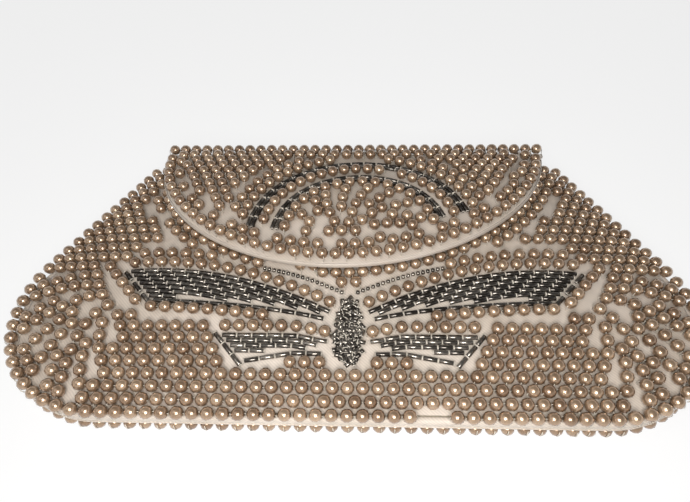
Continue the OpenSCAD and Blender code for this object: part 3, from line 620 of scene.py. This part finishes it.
def strands(path, out, width):
    """Tubes of four sides along paths, one path for each bead and each of its ends."""
    forward = unit(np.gradient(path, axis=1))
    flank = unit(np.cross(forward, out[:, None]) + 1e-6)
    rise = np.cross(flank, forward)
    turn = np.linspace(0, 2 * np.pi, 4, endpoint=False)
    points = path[:, :, None] + width / 2 * (
        np.cos(turn)[:, None] * flank[:, :, None] + np.sin(turn)[:, None] * rise[:, :, None])
    index = np.arange(points[..., 0].size).reshape(points.shape[:3])
    ahead = np.roll(index, -1, axis=2)
    sides = np.stack([index[:, :-1], ahead[:, :-1], ahead[:, 1:], index[:, 1:]], -1)
    return points.reshape(-1, 3), [sides.reshape(-1, 4), index[:, 0, ::-1], index[:, -1]]


def stitches(centre, axis, out, half, radius, width):
    """Threads at both ends of each bead: out of the drilled hole, over the bead's shoulder and
    down into the satin under its edge. Steps are shares of the bead's half length, along its
    axis, and of its radius, down towards the satin."""
    steps = np.array([[0.86, -0.05], [1.03, 0.0], [1.07, 0.35], [0.98, 0.9], [0.9, 1.1]])
    ends = []
    for way in (1.0, -1.0):
        path = centre[:, None] + way * axis[:, None] * (steps[:, :1] * half[:, None, None]) \
            - out[:, None] * (steps[:, 1:] * radius)
        ends.append(path)
    return strands(np.concatenate(ends), np.concatenate([out, out]), width)


pearl_r, pearl_sides, pearl_thread_w, sewn_askew = 2.25, 10, 0.3, 0.16
champagne = lustre("champagne_pearl", (0.24, 0.145, 0.085), (0.48, 0.34, 0.225))
cotton = sewing_thread()
around_hole = np.radians([166.0, 138.0, 108.0, 72.0, 42.0, 14.0])
bore_end = np.array([[0.72, 0.02]])
pearl_profile = np.concatenate([
    bore_end * [-1, 1], np.stack([np.cos(around_hole), np.sin(around_hole)], -1), bore_end])


def sew_pearls(name, nodes, body, out, seed):
    """Pearls and their threads where the CAD pearls are, each of its own tint, size and turn."""
    draw = np.random.default_rng(seed)
    centre = np.concatenate([shells_of(node)[0] for node in nodes])
    out = np.broadcast_to(unit(np.array(out, float)), centre.shape)
    axis = along_row(centre, out)
    swing = draw.normal(0, sewn_askew, len(centre))[:, None]
    axis = unit(np.cos(swing) * axis + np.sin(swing) * np.cross(out, axis))
    size = pearl_r * draw.uniform(0.955, 1.0, (len(centre), 1, 1))
    egg = draw.uniform(0.97, 1.0, (len(centre), 1))
    profile = pearl_profile[None] * size * np.stack([egg, np.ones_like(egg)], -1)
    points, faces = lathed(centre, axis, out, profile, pearl_sides)
    tint = np.repeat(draw.beta(3.0, 3.0, len(centre)), len(points) // len(centre))
    piece(name, points, faces, champagne, "pearl", body, nodes, tint)
    thread, faces = stitches(centre, axis, out, size[:, 0, 0], pearl_r, pearl_thread_w)
    piece(name.replace("pearls", "threads"), thread, faces, cotton, "cover_satin", body)


sew_pearls("rim_pearls_back", ["back_rim_pearls"], "pouch", (0, 0, -1), 11)
sew_pearls("field_pearls_back", ["back_pearls_left", "back_pearls_middle", "back_pearls_right"],
           "pouch", (0, 0, -1), 12)


# The pearls of the front: three rows along the edge, and the field, whose rows follow the
# edge at the sides and the ribbons of the bow in the middle.
sew_pearls("border_pearls_front", ["front_border_pearls"], "pouch", (0, -0.06, 1), 13)
sew_pearls("field_pearls_front", ["front_field_pearls"], "pouch", (0, -0.03, 1), 14)


# The bow: bugle beads of gunmetal glass, laid like bricks in rows that follow the edges of
# four ribbons, each fixed by a cream thread that shows at its ends.
def gunmetal(name, dark, light):
    """Dark metal-lined glass: paler patches painted into the colour as highlights that stand in
    for glints along each bead, and a tone of its own.
    """
    glass, nodes, links, skin, place = bare_finish(name)
    tint = nodes.new("ShaderNodeAttribute")
    tint.attribute_name = "tint"
    # Painted highlight: paler patches in the colour stand in for glints on the glass, and each
    # bead's tint scales them.
    painted_glint = nodes.new("ShaderNodeTexNoise")
    painted_glint.inputs["Scale"].default_value = 900.0
    painted_glint.inputs["Detail"].default_value = 2.0
    links.new(place, painted_glint.inputs["Vector"])
    blend = nodes.new("ShaderNodeMath")
    blend.operation = "MULTIPLY"
    blend.use_clamp = True
    links.new(painted_glint.outputs["Fac"], blend.inputs[0])
    links.new(tint.outputs["Fac"], blend.inputs[1])
    tone = nodes.new("ShaderNodeMix")
    tone.data_type = "RGBA"
    tone.inputs["A"].default_value = (*dark, 1.0)
    tone.inputs["B"].default_value = (*light, 1.0)
    links.new(blend.outputs[0], tone.inputs["Factor"])
    links.new(tone.outputs["Result"], skin.inputs["Base Color"])
    skin.inputs["Metallic"].default_value = 0.85
    skin.inputs["Roughness"].default_value = 0.22
    skin.inputs["Coat Weight"].default_value = 0.5
    skin.inputs["Coat Roughness"].default_value = 0.08
    return glass


bugle_r, seed_r, seed_max_l, tube_sides = 0.825, 0.8, 2.0, 8
gunmetal_glass = gunmetal("gunmetal_glass", (0.042, 0.035, 0.029), (0.38, 0.345, 0.30))


def couching(centre, axis, out, half, radius):
    """Stitches laid square across both ends of each bugle: an arch from the satin on one side,
    over the gap between two bugles, to the satin on the other."""
    turn = np.radians([200.0, 160.0, 120.0, 90.0, 60.0, 20.0, -20.0])[:, None]
    wide, high, past_end = 0.95, 0.6, 0.24
    arch = radius[:, None, None] * (wide * np.cos(turn) * np.cross(out, axis)[:, None]
                                    + high * np.sin(turn) * out[:, None])
    beyond = (half + past_end)[:, None, None] * axis[:, None]
    return np.concatenate([centre[:, None] + way * beyond + arch for way in (1.0, -1.0)])


def sew_tubes(name, node, body, beads, seed, tone, thread_w=0.32):
    """Short tubes of glass with worn rims and a bore, each with a tone of its own that also sets
    how much painted highlight it shows, and the stitches at their ends. Beads are given as
    centres, axes and lengths."""
    draw = np.random.default_rng(seed)
    centre, axis, length = beads
    up = np.broadcast_to([0.0, 0.0, 1.0], centre.shape)
    out = unit(up - (up * axis).sum(-1, keepdims=True) * axis)
    is_seed = length < seed_max_l
    radius = np.where(is_seed, seed_r, bugle_r) * draw.uniform(0.93, 1.0, len(centre))
    half = length / 2 * np.where(is_seed, 0.8, draw.uniform(0.95, 1.0, len(centre)))
    bevel = np.where(is_seed, 0.35, 0.1)
    rim = np.where(is_seed, 0.55, 0.84)
    near, far = half - bevel, half
    bore_depth, bore_in, bore = 0.5, 0.3, 0.4
    ends = np.stack([
        np.stack([near, radius], -1), np.stack([far, rim * radius], -1),
        np.stack([far, bore * radius], -1), np.stack([far - bore_depth, bore_in * radius], -1)], 1)
    profile = np.concatenate([ends[:, ::-1] * [-1, 1], ends], 1)
    points, faces = lathed(centre, axis, out, profile, tube_sides)
    # Each bead's tint is its own tone and also the share of painted highlight on its glass.
    tint = np.repeat(draw.uniform(*tone, len(centre)) ** 1.5, len(points) // len(centre))
    piece(name, points, faces, gunmetal_glass, "bugle_glass", body, [node], tint)
    path = couching(centre, axis, out, half, radius)
    thread, faces = strands(path, np.concatenate([out, out]), thread_w)
    piece(name + "_threads", thread, faces, cotton, "cover_satin", body)


def sew_bugles(name, node, body, seed, tone=(0.1, 0.9)):
    """Bugles and seed beads where the CAD beads are. A seed bead lies across its line."""
    centre, axis, length = shells_of(node)
    axis = np.where((length < seed_max_l)[:, None], np.array([1.0, 0.0, 0.0]), axis)
    sew_tubes(name, node, body, (centre, axis, length), seed, tone)


# The range of tone given to each ribbon also sets how much painted highlight its beads show.
sew_bugles("bow_upper_left", "upper_ribbon_left", "pouch", 21)
sew_bugles("bow_upper_right", "upper_ribbon_right", "pouch", 22)
sew_bugles("bow_lower_left", "lower_ribbon_left", "pouch", 23, (0.4, 1.3))
sew_bugles("bow_lower_right", "lower_ribbon_right", "pouch", 24, (0.3, 1.2))


# The knot of the bow: seed beads and short bugles crowded into an upright egg and sewn down
# every way, and two thin lines of seed beads that rise from it to the flap.
knot_y, knot_w, knot_h, knot_taper, knot_blunt = 29.5, 11.4, 26.0, 0.2, 2.6
knot_step, knot_stray, knot_pile, knot_tilt = 1.72, 0.15, 0.45, 0.25
knot_thread_w, bead_gap = 0.28, 0.08


def crowded(seed):
    """Centres, axes and lengths of the knot's beads: rows of places, each row half a step from
    the next, all moved a little and turned any way at random, kept inside the egg, whose edge
    is where the powers of the shares of its half width and half height add up to one."""
    draw = np.random.default_rng(seed)
    row, col = np.mgrid[-9:10, -5:6]
    x = (col + row % 2 / 2) * knot_step + draw.uniform(-knot_stray, knot_stray, row.shape)
    y = knot_y + row * knot_step * np.sin(np.pi / 3) \
        + draw.uniform(-knot_stray, knot_stray, row.shape)
    wide = knot_w / 2 * (1 - knot_taper * np.clip(2 * (y - knot_y) / knot_h, -1, 1)) - seed_r
    inside = (np.abs(x) / wide) ** knot_blunt \
        + (np.abs(y - knot_y) / (knot_h / 2 - seed_r)) ** knot_blunt < 1
    x, y = x[inside], y[inside]
    z = front_top_z + crown(x, y) + bead_gap + seed_r + draw.uniform(0, knot_pile, len(x))
    heading = draw.uniform(0, np.pi, len(x))
    tilt = draw.uniform(-knot_tilt, knot_tilt, len(x))
    axis = unit(np.stack([np.cos(heading), np.sin(heading), tilt], -1))
    return np.stack([x, y, z], -1), axis, draw.uniform(1.5, 2.7, len(x))


sew_tubes("bow_middle", "bow_knot", "pouch", crowded(25), 25, (0.0, 1.1), knot_thread_w)
sew_bugles("seeds_left", "seed_line_left", "pouch", 26, (0.5, 1.4))
sew_bugles("seeds_right", "seed_line_right", "pouch", 27, (0.5, 1.4))


# The fold: one length of satin runs from the back over the top to the flap, with the lining
# inside it. It bends at four creases and is flat between them.
strip_l, fold_w = 4.2, 159.0
creases, bend_reach = 4, 1.2
lining_gap, fold_lining_t, fold_end_gap = 0.03, 0.32, 0.02
turn_each = np.pi / creases
axis_z = back_satin_z + crease_r
crease = [np.array([panel_h, axis_z])]
for k in range(1, creases):
    crease.append(crease[-1] + strip_l * np.array([np.cos(turn_each * k), np.sin(turn_each * k)]))


def bent_strip(k, near, far, before, after):
    """Grid pair of cloth round crease k, whose two faces lie at near and far from its axis,
    outwards. It starts flat, turns by one crease's angle, and ends flat: each point lies at its
    radius square to the cloth, and slides along the cloth where that is flat."""
    start = turn_each * k - np.pi / 2
    bend = np.linspace(0, turn_each, 9)
    flat_in = np.linspace(-before, 0, 5)[:-1]
    flat_out = np.linspace(0, after, 5)[1:]
    angle = start + np.concatenate([0 * flat_in, bend, turn_each + 0 * flat_out])
    slide = np.concatenate([flat_in, 0 * bend, flat_out])
    x = np.linspace(-fold_w / 2, fold_w / 2, 200)[None, :]
    faces = []
    for r in (near, far):
        y = crease[k][0] + r * np.cos(angle) - slide * np.sin(angle)
        z = crease[k][1] + r * np.sin(angle) + slide * np.cos(angle)
        faces.append(grid(x, y[:, None], z[:, None]))
    return faces


fold_lining_r = crease_r - satin_t - lining_gap
for k in range(creases):
    last = k == creases - 1
    before = cut_back - fold_end_gap if k == 0 else strip_l / 2
    after = cut_back - fold_end_gap if last else strip_l / 2
    heading = turn_each * (k + 0.5)
    inner, outer = bent_strip(k, crease_r - satin_t, crease_r, before, after)
    satin = piece(f"fold_satin_over_{k + 1}", *shell(inner, outer), cover_satin, "cover_satin",
                  None, ["flap_crease" if last else f"fold_satin_{k + 1}"])
    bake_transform(satin)
    inner, outer = bent_strip(k, fold_lining_r - fold_lining_t, fold_lining_r, before, after)
    lining = piece(f"fold_lining_over_{k + 1}", *shell(inner, outer), lining_satin,
                   "lining_satin", None, [] if last else [f"fold_lining_{k + 1}"])
    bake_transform(lining)


# The pearls of the fold: one row on each of its three strips, of the same glass and sewn
# with the same thread. They stand square to their strip and turn with it.
for k in range(1, creases):
    heading = turn_each * k - np.pi / 2
    sew_pearls(f"pearls_fold_{k}", [f"fold_pearls_{k}"], f"fold_strip_{k}",
               (0, np.cos(heading), np.sin(heading)), 30 + k)


# The flap: half an ellipse of lining, board and satin that hangs from the fold and lies over
# the front. It climbs from the fold and comes down over the front's pearls.
flap_a, flap_drop, flap_off, bind_t = 79.0, 61.5, 5.0, 0.6
flap_r, flap_skew = np.hypot(flap_a, flap_off), np.arctan2(flap_off, flap_a)
flap_root = np.arcsin(cut_back / flap_drop)
flap_root_z = crease[-1][1] - crease_r
flap_gap, flap_climb, flap_last_row = 0.35, 0.62, np.radians(86.0)


def flap_edge_y(x):
    """Height of the flap's curved edge at x: half an ellipse, its tip drawn to the left."""
    turn = np.arccos(np.clip(x / flap_r, -1, 1)) - flap_skew
    return panel_h - flap_drop * np.maximum(0, np.sin(turn))


def flap_under(x, y):
    """Height of the flap's underside: a quarter of a sine over the first part of the way from
    the fold to the edge, then level just above the front's pearls."""
    share = (root_y - y) / np.maximum(0.5, root_y - flap_edge_y(x))
    over_front = front_top_z + 2 * pearl_r + bead_gap + flap_gap + crown(x, y)
    rise = np.sin(np.pi / 2 * np.clip(share / flap_climb, -0.2, 1))
    return flap_root_z + (over_front - flap_root_z) * rise


def flap_plan(inset, rows=120, cols=180):
    """x and y of the flap's grid, from the fold to the tip: rows follow the ellipse."""
    t = np.linspace(flap_root, flap_last_row, rows)[:, None]
    y = panel_h - (flap_drop - inset) * np.sin(t)
    y[0] = root_y
    x = (flap_a - inset) * np.cos(t) * np.linspace(-1, 1, cols)[None, :] - flap_off * np.sin(t)
    return x[::-1], np.broadcast_to(y[::-1], x.shape)


flap_sag, flap_rumple_h, flap_rumple_l = 0.06, 0.05, 12.0
x, y = flap_plan(bind_t + layer_gap)
under = flap_under(x, y)
rumple = flap_sag + flap_rumple_h * creased(x, y, flap_rumple_l, 15)
flap_inside = piece(
    "flap_inside",
    *shell(grid(x, y, under + rumple), grid(x, y, under + lining_t)),
    lining_satin, "lining_satin", "flap", ["flap_lining"])
satin_up = lining_t + board_t + 2 * layer_gap
flap_cover = piece(
    "flap_cover",
    *shell(grid(x, y, under + satin_up), grid(x, y, under + cloth_t + puckered(x, y, 16))),
    cover_satin, "cover_satin", "flap", ["flap_satin"])


# The flap's binding: a strip of the cover's satin, turned over the edge of board and lining
# in a soft roll that follows the curve from one end of the fold to the other.
t = np.linspace(flap_root, np.pi - flap_root, 320)
rim_x = (flap_a - bind_t / 2) * np.cos(t) - flap_off * np.sin(t)
rim_y = panel_h - (flap_drop - bind_t / 2) * np.sin(t)
rim = np.stack([rim_x, rim_y], -1)
rim_out = unit(np.stack([flap_drop * np.cos(t), -flap_a * np.sin(t) - flap_off * np.cos(t)], -1))
turn = np.linspace(0, 2 * np.pi, 14, endpoint=False)[None, :]
rim_out_by = bind_t / 2 * np.cos(turn) + 0 * t[:, None]
rim_up = flap_under(rim_x, np.maximum(rim_y, flap_edge_y(rim_x)))[:, None] + cloth_t / 2 \
    + cloth_t / 2 * np.sin(turn)
rim_points = carried(rim, rim_out, rim_out_by, rim_up)
piece(
    "flap_roll", rim_points.reshape(-1, 3), ring_faces(*rim_points.shape[:2]),
    cover_satin, "cover_satin", "flap", ["flap_binding"])


# The beads of the flap: pearls along its edge, between the arcs and across the rest, and two
# arcs of two rows of bugles each.
sew_pearls("pearls_flap", ["flap_pearls"], "flap", (0, 0.03, 1), 41)
sew_bugles("arc_outer", "flap_outer_arc", "flap", 42)
sew_bugles("arc_inner", "flap_inner_arc", "flap", 43)


# The press snap: stamped brass plated with nickel, its stud sewn under the flap and its
# socket on the front. Both keep their own shape.
def nickel(name):
    """Plated metal, rubbed fine and a little dulled."""
    plate, nodes, links, skin, place = bare_finish(name)
    dull = nodes.new("ShaderNodeTexNoise")
    dull.inputs["Scale"].default_value = 700.0
    links.new(place, dull.inputs["Vector"])
    rough = nodes.new("ShaderNodeMapRange")
    rough.inputs["To Min"].default_value = 0.2
    rough.inputs["To Max"].default_value = 0.42
    links.new(dull.outputs["Fac"], rough.inputs["Value"])
    links.new(rough.outputs["Result"], skin.inputs["Roughness"])
    skin.inputs["Base Color"].default_value = (0.62, 0.60, 0.56, 1.0)
    skin.inputs["Metallic"].default_value = 1.0
    return plate


dress(nickel("snap_nickel"), "snap_socket", "snap_stud")
